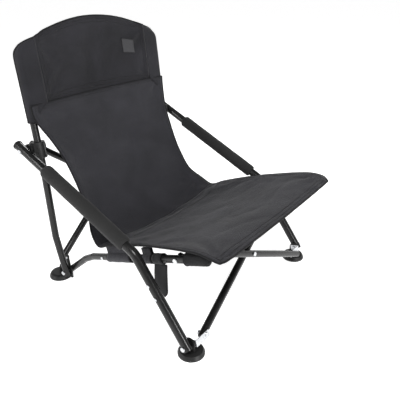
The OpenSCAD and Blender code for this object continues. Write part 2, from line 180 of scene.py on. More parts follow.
# ---------------------------------------------------------------- materials
def cloth_material(name, base, pitch, sheen=0.1, contrast=0.35, rough=0.82, crumple_shade=0.84):
    """Plain weave in the UV plane, which is in metres: over-and-under threads of the given pitch. The last
    argument is the brightness of the darkest broad patches, which lie in the hollows of the crumple bump:
    painted shade."""
    material, tree, shader = new_material(name)
    axes = add_node(tree, "ShaderNodeSeparateXYZ")
    tree.links.new(space(tree, "UV"), axes.inputs[0])
    waves = [maths(tree, "SINE", maths(tree, "MULTIPLY", axes.outputs[i], math.pi / pitch)) for i in (0, 1)]
    weave = add_node(tree, "ShaderNodeMix", data_type="FLOAT")
    on_top = map_range(tree, maths(tree, "MULTIPLY", *waves), -0.15, 0.15, 0, 1)
    tree.links.new(on_top, weave.inputs[0])
    tree.links.new(maths(tree, "ABSOLUTE", waves[0]), weave.inputs[2])
    tree.links.new(maths(tree, "ABSOLUTE", waves[1]), weave.inputs[3])
    threads = weave.outputs[0]
    fine = texture(tree, "Noise", space(tree, "UV", (1, 3, 1)), Scale=420.0, Detail=3.0, Roughness=0.6)
    broad = texture(tree, "Noise", space(tree), Scale=9.0, Detail=5.0, Roughness=0.5, Distortion=0.6)
    low, high = [tuple(c * (1 + sign * contrast) for c in base) for sign in (-1, 1)]
    colour = ramp(tree, fine, low, high, 0.32, 0.68)
    # painted shade: the broad patches go darker where the crumple bump made from the same noise is low
    colour = multiply(tree, colour, ramp(tree, broad, grey(crumple_shade), grey(1.0), 0.36, 0.64))
    colour = multiply(tree, colour, ramp(tree, threads, grey(0.72), grey(1.0), 0.0, 0.8))
    tree.links.new(colour, shader.inputs["Base Color"])
    roughness = map_range(tree, fine, 0.2, 0.8, rough - 0.1, rough + 0.1)
    tree.links.new(roughness, shader.inputs["Roughness"])
    crumpled = bump(tree, shader, broad, 0.6, 0.008)
    woven = bump(tree, shader, threads, 0.55, 0.0003, crumpled)
    bump(tree, shader, fine, 0.3, 0.0002, woven)
    shader.inputs["Sheen Weight"].default_value = sheen
    shader.inputs["Sheen Roughness"].default_value = 0.45
    shader.inputs["Specular IOR Level"].default_value = 0.22
    return material


def tube_material():
    """Satin black powder coat with a faint orange peel and rubbed patches."""
    material, tree, shader = new_material("black_powder_coat")
    where = space(tree)
    peel = texture(tree, "Noise", where, Scale=620.0, Detail=2.0)
    rubbed = texture(tree, "Noise", where, Scale=28.0, Detail=6.0, Roughness=0.65)
    tree.links.new(ramp(tree, rubbed, grey(0.004), grey(0.009), 0.35, 0.7), shader.inputs["Base Color"])
    tree.links.new(map_range(tree, rubbed, 0.3, 0.75, 0.2, 0.32), shader.inputs["Roughness"])
    bump(tree, shader, peel, 0.12, 0.00025)
    shader.inputs["Coat Weight"].default_value = 0.05
    shader.inputs["Coat Roughness"].default_value = 0.08
    shader.inputs["Specular IOR Level"].default_value = 0.3
    return material


def plastic_material():
    """Moulded black plastic with a fine grain and faint flow marks."""
    material, tree, shader = new_material("moulded_plastic")
    where = space(tree)
    grain = texture(tree, "Voronoi", where, Scale=1500.0)
    flow = texture(tree, "Noise", where, Scale=40.0, Detail=4.0)
    tree.links.new(ramp(tree, flow, grey(0.006), grey(0.012)), shader.inputs["Base Color"])
    tree.links.new(map_range(tree, flow, 0.3, 0.7, 0.38, 0.52), shader.inputs["Roughness"])
    bump(tree, shader, grain, 0.14, 0.0002)
    shader.inputs["Specular IOR Level"].default_value = 0.3
    return material


def foam_material():
    """Matt foam with open pores."""
    material, tree, shader = new_material("grip_foam")
    where = space(tree)
    pores = texture(tree, "Voronoi", where, Scale=700.0)
    fine = texture(tree, "Noise", where, Scale=900.0, Detail=4.0, Roughness=0.7)
    broad = texture(tree, "Noise", where, Scale=22.0, Detail=3.0)
    speckle = ramp(tree, fine, grey(0.01), grey(0.022))
    colour = multiply(tree, speckle, ramp(tree, broad, grey(0.85), grey(1.0)))
    tree.links.new(colour, shader.inputs["Base Color"])
    shader.inputs["Roughness"].default_value = 0.9
    pitted = bump(tree, shader, pores, 0.3, 0.0004)
    bump(tree, shader, fine, 0.25, 0.0003, pitted)
    shader.inputs["Sheen Weight"].default_value = 0.06
    shader.inputs["Specular IOR Level"].default_value = 0.25
    return material


def steel_material():
    """Bright zinc plating with fine streaks."""
    material, tree, shader = new_material("zinc_plated_steel")
    streaks = texture(tree, "Noise", space(tree, "Object", (1, 6, 1)), Scale=260.0, Detail=5.0)
    blotches = texture(tree, "Noise", space(tree), Scale=90.0, Detail=3.0)
    colour = ramp(tree, blotches, (0.48, 0.49, 0.51), (0.66, 0.67, 0.68))
    tree.links.new(colour, shader.inputs["Base Color"])
    tree.links.new(map_range(tree, streaks, 0.3, 0.7, 0.2, 0.38), shader.inputs["Roughness"])
    shader.inputs["Metallic"].default_value = 1.0
    bump(tree, shader, streaks, 0.1, 0.0001)
    return material


SLING = cloth_material("sling_oxford_cloth", (0.031, 0.0305, 0.0362), 0.0011, crumple_shade=0.72)
HEAD = cloth_material("headrest_oxford_cloth", (0.0185, 0.018, 0.0222), 0.0011, crumple_shade=0.55)
BINDING = cloth_material("binding_tape", (0.006, 0.006, 0.007), 0.0008, sheen=0.05, contrast=0.25)
WEBBING = cloth_material("black_webbing", (0.009, 0.009, 0.01), 0.0018, sheen=0.08, contrast=0.3)
THREAD = cloth_material("sewing_thread", (0.006, 0.006, 0.0065), 0.0005, contrast=0.2, rough=0.6)
PATCH = cloth_material("plain_woven_patch", (0.05, 0.05, 0.054), 0.0005, contrast=0.2, rough=0.7)
FOAM = foam_material()
BY_SLOT = {
    "black_tube": tube_material(), "black_plastic": plastic_material(), "foam": FOAM,
    "bright_steel": steel_material(), "sling_cloth": SLING, "webbing": WEBBING, "patch": PATCH}

for row in frame["record"]["subparts"]:
    part = NODES[row["node"]]
    if not part.material_slots:
        part.data.materials.append(None)
    for material_slot in part.material_slots:
        material_slot.link = "OBJECT"
        material_slot.material = BY_SLOT[row["material_slot"]]


# ---------------------------------------------------------------- lines, grids and meshes
CLOTH = 2.6             # thickness of the panels
SLEEVE_CLOTH = 2.0      # of the sleeves, loops, strap and tab
EDGE_RADIUS = 2.3       # edge binding of the panels
SWEEP_START = (0.3, 0.2, 0.93)      # a direction that no swept line starts along


def run_along(points, axis):
    """Running length along one axis of an array of points."""
    steps = np.linalg.norm(np.diff(points, axis=axis), axis=-1)
    before = [(0, 0)] * steps.ndim
    before[axis] = (1, 0)
    return np.pad(np.cumsum(steps, axis=axis), before)


def interpolate(where, run, values):
    """The values at the lengths where along a line whose own points lie at the lengths run."""
    return np.stack([np.interp(where, run, values[:, k]) for k in range(3)], -1)


def resample(line, step):
    """Points every step mm along a line."""
    run = run_along(line, 0)
    count = max(2, int(round(run[-1] / step)) + 1)
    return interpolate(np.linspace(0, run[-1], count), run, line)


def closed(grid):
    """A line or grid with its first point or column again at the end."""
    if grid.ndim == 2:
        return np.concatenate([grid, grid[:1]])
    return np.concatenate([grid, grid[:, :1]], 1)


def border(grid):
    """Down the first column, along the last row and back up the last column."""
    return np.concatenate([grid[:, 0], grid[-1, 1:], grid[::-1, -1][1:]])


def grid_normals(grid, wrap=False):
    if wrap:
        across = np.roll(grid, -1, axis=1) - np.roll(grid, 1, axis=1)
    else:
        across = np.gradient(grid, axis=1)
    normal = np.cross(across, np.gradient(grid, axis=0))
    return normal / np.maximum(np.linalg.norm(normal, axis=2, keepdims=True), 1e-12)


def outward(grid, towards):
    """The grid's normals on the side that faces towards."""
    normal = grid_normals(grid)
    middle = normal[grid.shape[0] // 2, grid.shape[1] // 2]
    return normal if middle @ np.array(towards) > 0 else -normal


def make(name, points, faces, uvs, material, smooth=True):
    """An object from points in metres, with one (u, v) in metres for each point."""
    mesh = bpy.data.meshes.new(name)
    mesh.from_pydata([tuple(p) for p in points], [], [tuple(f) for f in faces])
    corners = np.empty(len(mesh.loops), int)
    mesh.loops.foreach_get("vertex_index", corners)
    layer = mesh.uv_layers.new(name="UVMap")
    layer.data.foreach_set("uv", np.asarray(uvs, float)[corners].ravel())
    mesh.materials.append(material)
    mesh.polygons.foreach_set("use_smooth", np.full(len(mesh.polygons), smooth))
    mesh.update()
    new = bpy.data.objects.new(name, mesh)
    bpy.context.scene.collection.objects.link(new)
    return new


def cloth_solid(name, grid, material, thick=CLOTH, wrap=False, flip=False):
    """A closed thin solid round the middle surface grid (rows, columns, xyz). wrap joins the last column to
    the first, and flip turns the faces round."""
    rows, columns = grid.shape[:2]
    offset = grid_normals(grid, wrap) * (-1 if flip else 1) * thick / 2
    points = np.concatenate([(grid + offset).reshape(-1, 3), (grid - offset).reshape(-1, 3)])
    under = rows * columns
    spans = columns if wrap else columns - 1
    faces = []
    for i in range(rows - 1):
        for j in range(spans):
            a, b = i * columns + j, i * columns + (j + 1) % columns
            c, d = b + columns, a + columns
            faces.append((a, b, c, d))
            faces.append((d + under, c + under, b + under, a + under))
    first_row, last_row = [[i * columns + j % columns for j in range(spans + 1)] for i in (0, rows - 1)]
    edges = [(first_row, True), (last_row, False)]
    if not wrap:
        first_column, last_column = [[i * columns + j for i in range(rows)] for j in (0, columns - 1)]
        edges += [(first_column, False), (last_column, True)]
    for edge, forwards in edges:
        for a, b in zip(edge[:-1], edge[1:]):
            if not forwards:
                a, b = b, a
            faces.append((a, a + under, b + under, b))
    if flip:
        faces = [face[::-1] for face in faces]
    across = run_along(grid, 1)
    across = across - across[:, columns // 2][:, None]
    uvs = np.stack([across, run_along(grid, 0)], 2).reshape(-1, 2) / 1000.0
    return make(name, metres(points), faces, np.concatenate([uvs] * 2), material)


def sweep(line, radius, sides=10):
    """Points, faces and uvs of a round tube along a line; radius is one number or one for each point."""
    line = np.asarray(line, float)
    tangents = np.gradient(line, axis=0)
    tangents /= np.maximum(np.linalg.norm(tangents, axis=1, keepdims=True), 1e-12)
    radii = np.broadcast_to(np.asarray(radius, float), (len(line),))
    across = np.array(SWEEP_START)
    points, faces, uvs = [], [], []
    for point, tangent, r, run in zip(line, tangents, radii, run_along(line, 0)):
        across = across - tangent * (across @ tangent)
        across /= np.linalg.norm(across)
        aside = np.cross(tangent, across)
        for k in range(sides):
            turn = 2 * math.pi * k / sides
            points.append(point + r * (across * math.cos(turn) + aside * math.sin(turn)))
            uvs.append((r * turn / 1000, run / 1000))
    for i in range(len(line) - 1):
        for k in range(sides):
            a, b = i * sides + k, i * sides + (k + 1) % sides
            faces.append((a, b, b + sides, a + sides))
    faces.append(tuple(range(sides))[::-1])
    faces.append(tuple((len(line) - 1) * sides + k for k in range(sides)))
    return points, faces, uvs


def swept(name, parts, material):
    """One object from several sweeps."""
    points, faces, uvs = [], [], []
    for part_points, part_faces, part_uvs in parts:
        first = len(points)
        points += part_points
        faces += [tuple(i + first for i in face) for face in part_faces]
        uvs += part_uvs
    return make(name, metres(points), faces, uvs, material)


def tubes(name, lines, radius, material, sides=10):
    return swept(name, [sweep(line, radius, sides) for line in lines], material)


STITCH_LENGTH, STITCH_PITCH, STITCH_RADIUS = 3.6, 4.6, 0.6
# share of the stitch's length, and height of the thread's middle over the cloth's face
STITCH_ARC = ((0, -0.35), (0.2, 0.25), (0.5, 0.4), (0.8, 0.25), (1, -0.35))


def stitches(name, rows):
    """Small raised threads along each (line, outward normals) pair."""
    parts = []
    for line, normals in rows:
        run = run_along(line, 0)
        for i in range(int(run[-1] // STITCH_PITCH)):
            thread = []
            for share, height in STITCH_ARC:
                where = (i + 0.15) * STITCH_PITCH + share * STITCH_LENGTH
                up = interpolate(where, run, normals)
                up = up / max(np.linalg.norm(up), 1e-9)
                thread.append(interpolate(where, run, line) + up * height)
            parts.append(sweep(thread, STITCH_RADIUS, sides=5))
    return swept(name, parts, THREAD)


def row_line(grid, normals, i):
    """A line across the grid at row i, which may be a fraction, on the cloth's face."""
    k = min(int(i), len(grid) - 2)
    f = i - k
    face = grid + normals * CLOTH / 2
    return (face[k] * (1 - f) + face[k + 1] * f)[1:-1], normals[k][1:-1]


def column_line(grid, normals, j):
    """A line down the grid at column j, which may be a fraction, on the cloth's face."""
    k = min(int(j), grid.shape[1] - 2)
    f = j - k
    face = grid + normals * CLOTH / 2
    return face[:, k] * (1 - f) + face[:, k + 1] * f, normals[:, k]


# ---------------------------------------------------------------- putting each piece on its body and hiding the parts it replaces
def declare(piece, body, nodes=(), squash=None):
    """The piece rides on body and stands for the nodes, which are hidden. squash is (axis, anchor in metres,
    keep); if given, it only gets the piece a mesh of its own.
    """
    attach(piece, body)
    if nodes:
        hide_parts(*nodes)
    if squash:
        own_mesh(piece)


def declare_sheet(grid):
    """The width and length in metres of a middle surface grid, worked out and not used."""
    width, length = [round(float(run_along(grid, axis).max()) / 1000 + 0.0005, 3) for axis in (1, 0)]


# How the panels and sleeves would draw in as the chair folds: axis, anchor and the share that is left.
# Nothing here squashes them; declare() only gives such a piece its own mesh.
ACROSS = (1, 0, 0)
HEAD_SQUASH = (ACROSS, (-0.187, 0, 0), 0.128)
BACK_SQUASH = (ACROSS, (-0.1875, 0, 0), 0.165)
SEAT_SQUASH = (ACROSS, (-0.236, 0, 0), 0.31)
SLEEVE_GATHER, SLEEVE_KEEP = 596, 0.1

# ---------------------------------------------------------------- the sling's surface
# The sling's edge from the seam under the headrest, down the back and out to the seat's front: half width, y
# and z, then how far the middle bows back and how far it sags.
SEAM_Z = 478
ROWS = [
    (238, 494.3, SEAM_Z, 17, 0), (235, 489.5, 446, 17, 0), (215, 464, 395, 18, 2), (204, 438, 350, 19, 4),
    (199, 413, 300, 19, 7), (200, 392, 260, 17, 10), (207, 365, 215, 12, 14), (228, 334, 184, 6, 18),
    (239, 300, 165, 0, 20), (243, 258, 184, 0, 23), (247, 200, 207, 0, 24), (250, 140, 229, 0, 23),
    (254, 80, 247, 0, 20), (258, 30, 261, 0, 15), (261, -20, 271, 0, 10), (264, -71, 268, 0, 5)]
CREASE, FRONT = 8, 15           # rows where back and seat meet, and of the front edge
MID_BACK = 3.6
SLING_COLUMNS = 61
DOME_POWER = 2.2
EDGE_FADE = 9                   # wrinkles die out over a ninth of the half width
CORNER_X, CORNER_Y = 237, -41   # where the front corners' rounding starts
CORNER_WIDE, CORNER_LONG, CORNER_DROP = 26, 30, 4

# Points on the edge that pull folds into the cloth: x, y, z, reach, strength
PULLS = [
    (225, 284, 165, 80, 2.2), (232, 197, 197, 60, 1.6), (236, 138, 219, 60, 1.9), (250, -44, 268, 90, 2.4),
    (200, 330, 190, 90, 2.6), (214, 470, 400, 80, 2.0), (222, 495, 478, 90, 2.4)]


def smooth_rows(rows, where):
    """Catmull-Rom values between the rows at the places where, counted in rows."""
    rows = np.asarray(rows, float)
    out = []
    for place in where:
        i = min(int(place), len(rows) - 2)
        f = place - i
        p = [rows[max(0, min(len(rows) - 1, i + step))] for step in (-1, 0, 1, 2)]
        squared = 2 * p[0] - 5 * p[1] + 4 * p[2] - p[3]
        cubed = 3 * p[1] - p[0] - 3 * p[2] + p[3]
        out.append(0.5 * (2 * p[1] + (p[2] - p[0]) * f + squared * f * f + cubed * f ** 3))
    return np.array(out)


def wrinkle(x, y, z):
    """Soft irregularity of stretched cloth, in mm along the surface normal."""
    broad = 2.6 * ripple(x * 0.008, y * 0.008, z * 0.008)
    small = 1.2 * ripple(x * 0.02 + 5, y * 0.035, z * 0.035)
    ridge = 1 - abs(ripple(x * 0.006 + 9, y * 0.013, z * 0.016))
    return broad + small + 2.2 * ridge ** 6


def pulled(x, y, z):
    """Folds that fan out of the points where the cloth is held."""
    height = 0.0
    for pull_x, pull_y, pull_z, reach, strength in PULLS:
        dx, dy, dz = pull_x - abs(x), y - pull_y, z - pull_z
        away = math.sqrt(dx * dx + dy * dy + dz * dz)
        if away < 2.5 * reach:
            fan = math.cos(8 * math.atan2(dz + dy, max(dx, 1e-6)) + 0.8 * pull_x)
            height += strength * math.exp(-(away / reach) ** 2) * min(1, away / 25) * fan
    return height


def sling_relief(row, u, x, y, z):
    """Height of the folds at a row, with u from -1 to 1 across the cloth."""
    height = wrinkle(x, y, z) + pulled(x, y + Y_SHIFT, z)
    # gathers that run out of the crease
    near_crease = math.exp(-((row - CREASE) / 0.9) ** 2)
    height += near_crease * 1.7 * math.sin(x * 0.06 + 2.2 * ripple(x * 0.012, 3, 0))
    # long soft folds down the back
    on_back = math.exp(-((row - MID_BACK) / 2.2) ** 2)
    height += on_back * 2.0 * math.sin(x * 0.034 + 1.5 * ripple(x * 0.01, z * 0.006, 1))
    # flatter along the hems
    if row < 0.5 or row > FRONT - 0.2:
        height *= 0.4
    return height * min(1.0, (1 - abs(u)) * EDGE_FADE)


def sling_grid(start, end, count):
    """The cloth between two rows of ROWS."""
    where = np.linspace(start, end, count)
    across = np.linspace(-1, 1, SLING_COLUMNS)
    dome = 1 - np.abs(across) ** DOME_POWER
    grid = np.zeros((count, SLING_COLUMNS, 3))
    for i, (half, y, z, bow, sag) in enumerate(smooth_rows(ROWS, where)):
        grid[i] = np.stack([half * across, y - Y_SHIFT + bow * dome, z - sag * dome], 1)
    normal = grid_normals(grid)
    for i, row in enumerate(where):
        for j, u in enumerate(across):
            grid[i, j] += normal[i, j] * sling_relief(row, u, *grid[i, j])
    return grid


def round_corners(grid):
    """Rounds the seat's front corners and turns them down a little over the pockets."""
    for point in grid.reshape(-1, 3):
        a = max(0.0, abs(point[0]) - CORNER_X) / CORNER_WIDE
        b = max(0.0, CORNER_Y - (point[1] + Y_SHIFT)) / CORNER_LONG
        if a > 0 and b > 0:
            k = max(a, b) / math.hypot(a, b)
            point[0] = math.copysign(CORNER_X + CORNER_WIDE * a * k, point[0])
            point[1] = CORNER_Y - CORNER_LONG * b * k - Y_SHIFT
            point[2] -= CORNER_DROP * min(a, b) ** 1.5


# ---------------------------------------------------------------- the headrest's surface
HEAD_HALF = 187.0               # half width between the sleeves' seams
HEAD_TALL = 185                 # from the seam to the top of the arch
HEAD_BELOW = 7                  # how far it hangs behind the lower back's top edge
HEAD_ROWS, HEAD_COLUMNS = 43, 57
ARCH_HALF, ARCH_FOOT, ARCH_RISE = 186, 630, 35
SHOULDER_WIDE, SHOULDER_FALL, SHOULDER_DROP = 58, 16, 20
HEAD_FRONT, HEAD_BOW = 11.5, 13.5       # its sides in front of the uprights, and its middle behind the sides
JOIN_HEIGHT, JOIN_GAP = 24, 1.2         # over this height it comes forward to just behind the seam


def head_top(x):
    """Height of the top edge: a low arch between the uprights, then shoulders that fall away outside."""
    if abs(x) <= ARCH_HALF:
        return ARCH_FOOT + ARCH_RISE * (1 - (abs(x) / ARCH_HALF) ** 2)
    f = (abs(x) - ARCH_HALF) / SHOULDER_WIDE
    return ARCH_FOOT - SHOULDER_FALL * f - SHOULDER_DROP * f ** 5


def seam_y(x):
    """Where the top of the lower back lies, in Y."""
    half, y, _, bow, _ = ROWS[0]
    return y - Y_SHIFT + bow * (1 - abs(x / half) ** DOME_POWER)


def lean_y(z):
    """Y of the uprights' middle line at a height."""
    return UPRIGHT_Y + (z - UPRIGHT_Z) * math.tan(LEAN)


def head_relief(x, z):
    """Height of the headrest's creases, with folds that fan out of its corners."""
    height = 3.4 * ripple(x * 0.011, z * 0.013, 2.0) + 1.3 * ripple(x * 0.03, z * 0.012, 7.0)
    height += 2.0 * (1 - abs(ripple(x * 0.006, z * 0.012, 4.0))) ** 6
    from_side = HEAD_HALF - abs(x)
    for corner_z, phase in ((618, 1), (480, -1)):
        away = math.hypot(from_side, z - corner_z)
        fan = math.cos(9 * math.atan2(z - corner_z, from_side + 1e-6) + phase)
        height += 2.8 * math.exp(-(away / 75) ** 2) * min(1, away / 22) * fan
    return height * min(1, from_side / 26)


def head_grid():
    grid = np.zeros((HEAD_ROWS, HEAD_COLUMNS, 3))
    for j, x in enumerate(np.linspace(-HEAD_HALF, HEAD_HALF, HEAD_COLUMNS)):
        top = head_top(x)
        bow = HEAD_BOW * (1 - (x / HEAD_HALF) ** 2) ** 0.8
        for i in range(HEAD_ROWS):
            z = top + (SEAM_Z - HEAD_BELOW - top) * i / (HEAD_ROWS - 1)
            flatter = 1 - 0.25 * ((z - SEAM_Z) / HEAD_TALL) ** 2
            y = lean_y(z) - HEAD_FRONT + bow * flatter + head_relief(x, z)
            join = min(1.0, max(0.0, (SEAM_Z + JOIN_HEIGHT - z) / JOIN_HEIGHT)) ** 1.5
            grid[i, j] = (x, y * (1 - join) + (seam_y(x) + JOIN_GAP) * join, z)
    return grid


# ---------------------------------------------------------------- panels, their bindings and stitches
head_mid = head_grid()
head = cloth_solid("headrest_cloth", head_mid, HEAD, flip=True)
declare(head, "right_rear", ["headrest_panel"], HEAD_SQUASH)
head_binding = tubes("headrest_top_binding", [head_mid[0] + (0, 0, 0.6)], EDGE_RADIUS, BINDING)
declare(head_binding, "right_rear", squash=HEAD_SQUASH)

back_mid = sling_grid(0, CREASE, 65)
lower_back = cloth_solid("lower_back_cloth", back_mid, SLING)
declare(lower_back, "back_sling", ["lower_back_panel"], BACK_SQUASH)

seat_mid = sling_grid(CREASE, FRONT, 71)
round_corners(seat_mid)
seat = cloth_solid("seat_cloth", seat_mid, SLING)
declare(seat, "right_side", ["seat_panel"], SEAT_SQUASH)

back_edges = [resample(back_mid[:, 0], 5), resample(back_mid[:, -1], 5)]
back_binding = tubes("lower_back_binding", back_edges, EDGE_RADIUS, BINDING)
declare(back_binding, "back_sling", squash=BACK_SQUASH)
seat_binding = tubes("seat_binding", [resample(border(seat_mid), 5)], EDGE_RADIUS, BINDING)
declare(seat_binding, "right_side", squash=SEAT_SQUASH)

cord = tubes("hem_cord_cover", [back_mid[0] + (0, -1.6, 1.0)], 1.5, BINDING, sides=8)
declare(cord, "back_sling", ["hem_cord"], BACK_SQUASH)


def panel_stitches(name, grid, normals, rows, columns):
    """Stitches along the given rows and columns of a panel's grid."""
    lines = [row_line(grid, normals, i) for i in rows] + [column_line(grid, normals, j) for j in columns]
    return stitches(name, lines)


head_out = outward(head_mid, (0, -1, 0.2))
head_stitches = panel_stitches("headrest_stitching", head_mid, head_out, (38.2, 36.4, 1.6, 3.2),
                               (0.6, 1.9, 55.4, 54.1))
declare(head_stitches, "right_rear", squash=HEAD_SQUASH)
back_stitches = panel_stitches("lower_back_stitching", back_mid, outward(back_mid, (0, -1, 0.5)), (1.2, 2.6),
                               (1.2, 58.8))
declare(back_stitches, "back_sling", squash=BACK_SQUASH)
seat_stitches = panel_stitches("seat_stitching", seat_mid, outward(seat_mid, (0, -0.2, 1)), (67.4, 65.6, 9.0),
                               (1.2, 58.8))
declare(seat_stitches, "right_side", squash=SEAT_SQUASH)

# ---------------------------------------------------------------- plain patch on the headrest
# The patch's rows and columns are counted on the headrest's grid.
PATCH_TOP, PATCH_BOTTOM = 12.6, 21.2
PATCH_MIDDLE, PATCH_HALF = 46.3, 3.1
PATCH_LIFT, PATCH_EDGE_DIP = 0.9, 0.5


def on_headrest(i, j, lift):
    """A point over the headrest's middle surface at row i and column j, which may be fractions."""
    a, b = int(i), int(j)
    f, e = i - a, j - b
    point, normal = [
        (1 - f) * (1 - e) * values[a, b] + f * (1 - e) * values[a + 1, b]
        + (1 - f) * e * values[a, b + 1] + f * e * values[a + 1, b + 1] for values in (head_mid, head_out)]
    return point + normal * lift


patch_mid = np.zeros((13, 15, 3))
for i, row in enumerate(np.linspace(PATCH_TOP, PATCH_BOTTOM, 13)):
    for j, u in enumerate(np.linspace(-1, 1, 15)):
        lift = CLOTH / 2 + PATCH_LIFT - PATCH_EDGE_DIP * abs(u) ** 6
        patch_mid[i, j] = on_headrest(row, PATCH_MIDDLE + PATCH_HALF * u, lift)
patch = cloth_solid("headrest_patch_cloth", patch_mid, PATCH, thick=1.0, flip=True)
declare(patch, "right_rear", ["headrest_patch"], HEAD_SQUASH)
patch_out = head_out[17, 46] * 0.3
patch_edges = [edge + patch_out for edge in (patch_mid[0], patch_mid[-1], patch_mid[:, 0], patch_mid[:, -1])]
patch_rim = tubes("headrest_patch_edge", patch_edges, 0.8, THREAD, sides=6)
declare(patch_rim, "right_rear", squash=HEAD_SQUASH)

# ---------------------------------------------------------------- sleeves round the uprights
SLEEVE_ROWS, SLEEVE_COLUMNS = 34, 36
SLEEVE_RADIUS, SLEEVE_INWARD = 12.4, 44     # round the tube, and in to the headrest's seam
SLEEVE_FRONT, SLEEVE_BACK = 11.5, 20.4      # start of its front flap; how far its back flap comes forward
SLEEVE_SEAM = 0.76                          # share of its rows above the seam's height
SLEEVE_CLOSE = 0.09                         # share over which its top closes
SLEEVE_LOW_Z = 438
SLEEVE_NARROW = 38                          # how much its inward part shrinks below the seam
SLEEVE_DEPTH = 9.0                          # its middle at the headrest's seam, in front of the tube's


def sleeve_section():
    """Teardrop round the upright, from the front seam to the back one: (inward from the tube, in front)."""
    points = []
    for f in np.arange(SLEEVE_COLUMNS) / (SLEEVE_COLUMNS - 1):
        if f < 0.3:
            s = f / 0.3
            points.append((SLEEVE_INWARD * (1 - s), SLEEVE_FRONT + 0.9 * s))
        elif f < 0.7:
            turn = math.pi * (f - 0.3) / 0.4
            points.append((-SLEEVE_RADIUS * math.sin(turn), SLEEVE_RADIUS * math.cos(turn)))
        else:
            s = (f - 0.7) / 0.3
            points.append((SLEEVE_INWARD * s, -SLEEVE_RADIUS + SLEEVE_BACK * s ** 1.3))
    return points


def sleeve_point(side, share, inward, front):
    """A point of the sleeve; below the seam it narrows onto the tube with the edge of the lower back."""
    top = head_top(UPRIGHT_X - inward)
    z = top + (SEAM_Z - top) * min(1.0, share / SLEEVE_SEAM)
    if share > SLEEVE_SEAM:
        f = (share - SLEEVE_SEAM) / (1 - SLEEVE_SEAM)
        z = SEAM_Z + (SLEEVE_LOW_Z - SEAM_Z) * f
        inward = min(inward, SLEEVE_INWARD - SLEEVE_NARROW * f ** 0.6)
        front = front * (1 - 0.06 * f)
    opening = 1.0
    if share <= SLEEVE_CLOSE:
        opening = max(0.12, math.sqrt(max(0.0, 1 - ((SLEEVE_CLOSE - share) / SLEEVE_CLOSE) ** 2)))
    middle = SLEEVE_DEPTH * max(0, inward) / SLEEVE_INWARD
    x = UPRIGHT_X - inward
    depth = middle + (front - middle) * opening
    # it creases less where it is stretched round the tube
    crease = 0.9 if abs(inward) > SLEEVE_RADIUS + 0.6 else 0.27
    depth += crease * ripple(x * 0.03 * side, z * 0.03, front * 0.1)
    return x * side, lean_y(z) - depth, z


for side, name in SIDES:
    body = name + "_rear"
    sleeve_mid = np.array([[sleeve_point(side, share, *place) for place in sleeve_section()]
                           for share in np.arange(SLEEVE_ROWS) / (SLEEVE_ROWS - 1)])
    sleeve = cloth_solid(name + "_back_sleeve_cloth", sleeve_mid, HEAD, thick=SLEEVE_CLOTH, flip=side > 0)
    squash = (UPRIGHT_AXIS, tuple(metres(upright_point(UPRIGHT_X * side, SLEEVE_GATHER))), SLEEVE_KEEP)
    declare(sleeve, body, [name + "_back_sleeve"], squash)
    # binding over the top and down the outer edge, and round the foot
    edge = np.concatenate([sleeve_mid[0, :18], sleeve_mid[2:, 18]])
    for _ in range(3):
        edge[1:-1] = (edge[:-2] + 2 * edge[1:-1] + edge[2:]) / 4
    edge = resample(edge + np.array([side * 0.6, 0, 0]), 4)
    foot = resample(closed(sleeve_mid[-1]), 3)
    sleeve_binding = tubes(name + "_sleeve_top_binding", [edge, foot], EDGE_RADIUS * 0.8, BINDING)
    declare(sleeve_binding, body, squash=squash)
    declare_sheet(sleeve_mid)

# ---------------------------------------------------------------- cloth round the side tubes
RING = 32                   # columns round the strap
LOOP_RADIUS, LOOP_ROWS, LOOP_COLUMNS = 11.2, 15, 40
LOOP_HALF, LOOP_NECK = 2.2, 9       # half the gap between its two layers, and how far up they part
LOOPS = ((284, 94, 30, 27), (152, 30, 26, 25))      # rear end's y, length, height to the seat at each end
# the pocket from its mouth to its closed end: place along the tube from the tip, and radius
POCKET = [(-58, 12.6), (-56, 12.2), (-38, 11.9), (-20, 11.8), (-8, 11.7), (0, 11.4), (1.6, 9.6), (2.4, 6.0),
          (2.7, 0.4)]
POCKET_CLOTH, POCKET_COLUMNS = 1.8, 28
STRAP_Y, STRAP_WIDE, STRAP_ROWS = 118, 28, 9


def on_side_tube(y, side):
    """Frame on the side tube: origin, forwards, up and outwards."""
    origin, ahead = side_point(y), side_point(y - 10)
    forwards = (ahead - origin) / np.linalg.norm(ahead - origin) * (side, 1, 1)
    up = np.array([0, 0, 1.0])
    up = up - forwards * (up @ forwards)
    up /= np.linalg.norm(up)
    return origin * (side, 1, 1), forwards, up, np.cross(forwards, up)


def loop_section(height):
    """Cloth loop that hangs from the seat's edge round the tube: (sideways, up)."""
    points = []
    for f in np.arange(LOOP_COLUMNS) / (LOOP_COLUMNS - 1):
        if f < 0.2:
            points.append((LOOP_HALF, height - (height - LOOP_NECK) * f / 0.2))
        elif f > 0.8:
            points.append((-LOOP_HALF, LOOP_NECK + (height - LOOP_NECK) * (f - 0.8) / 0.2))
        else:
            turn = math.pi / 2 - (0.12 + (f - 0.2) / 0.6 * 1.76) * math.pi
            points.append((LOOP_RADIUS * math.cos(turn), LOOP_RADIUS * math.sin(turn)))
    return points


def loop_grid(side, rear_y, length, rear_height, front_height):
    origin, forwards, up, out = on_side_tube(rear_y - Y_SHIFT, side)
    grid = np.zeros((LOOP_ROWS, LOOP_COLUMNS, 3))
    for i in range(LOOP_ROWS):
        share = i / (LOOP_ROWS - 1)
        section = loop_section(rear_height + (front_height - rear_height) * share)
        for j, (aside, above) in enumerate(section):
            wobble = 1 + 0.02 * math.sin(i * 1.1 + j * 0.5)
            lift = above * (wobble if above < LOOP_NECK else 1)
            grid[i, j] = origin + forwards * length * share + out * aside * wobble + up * lift
    return grid


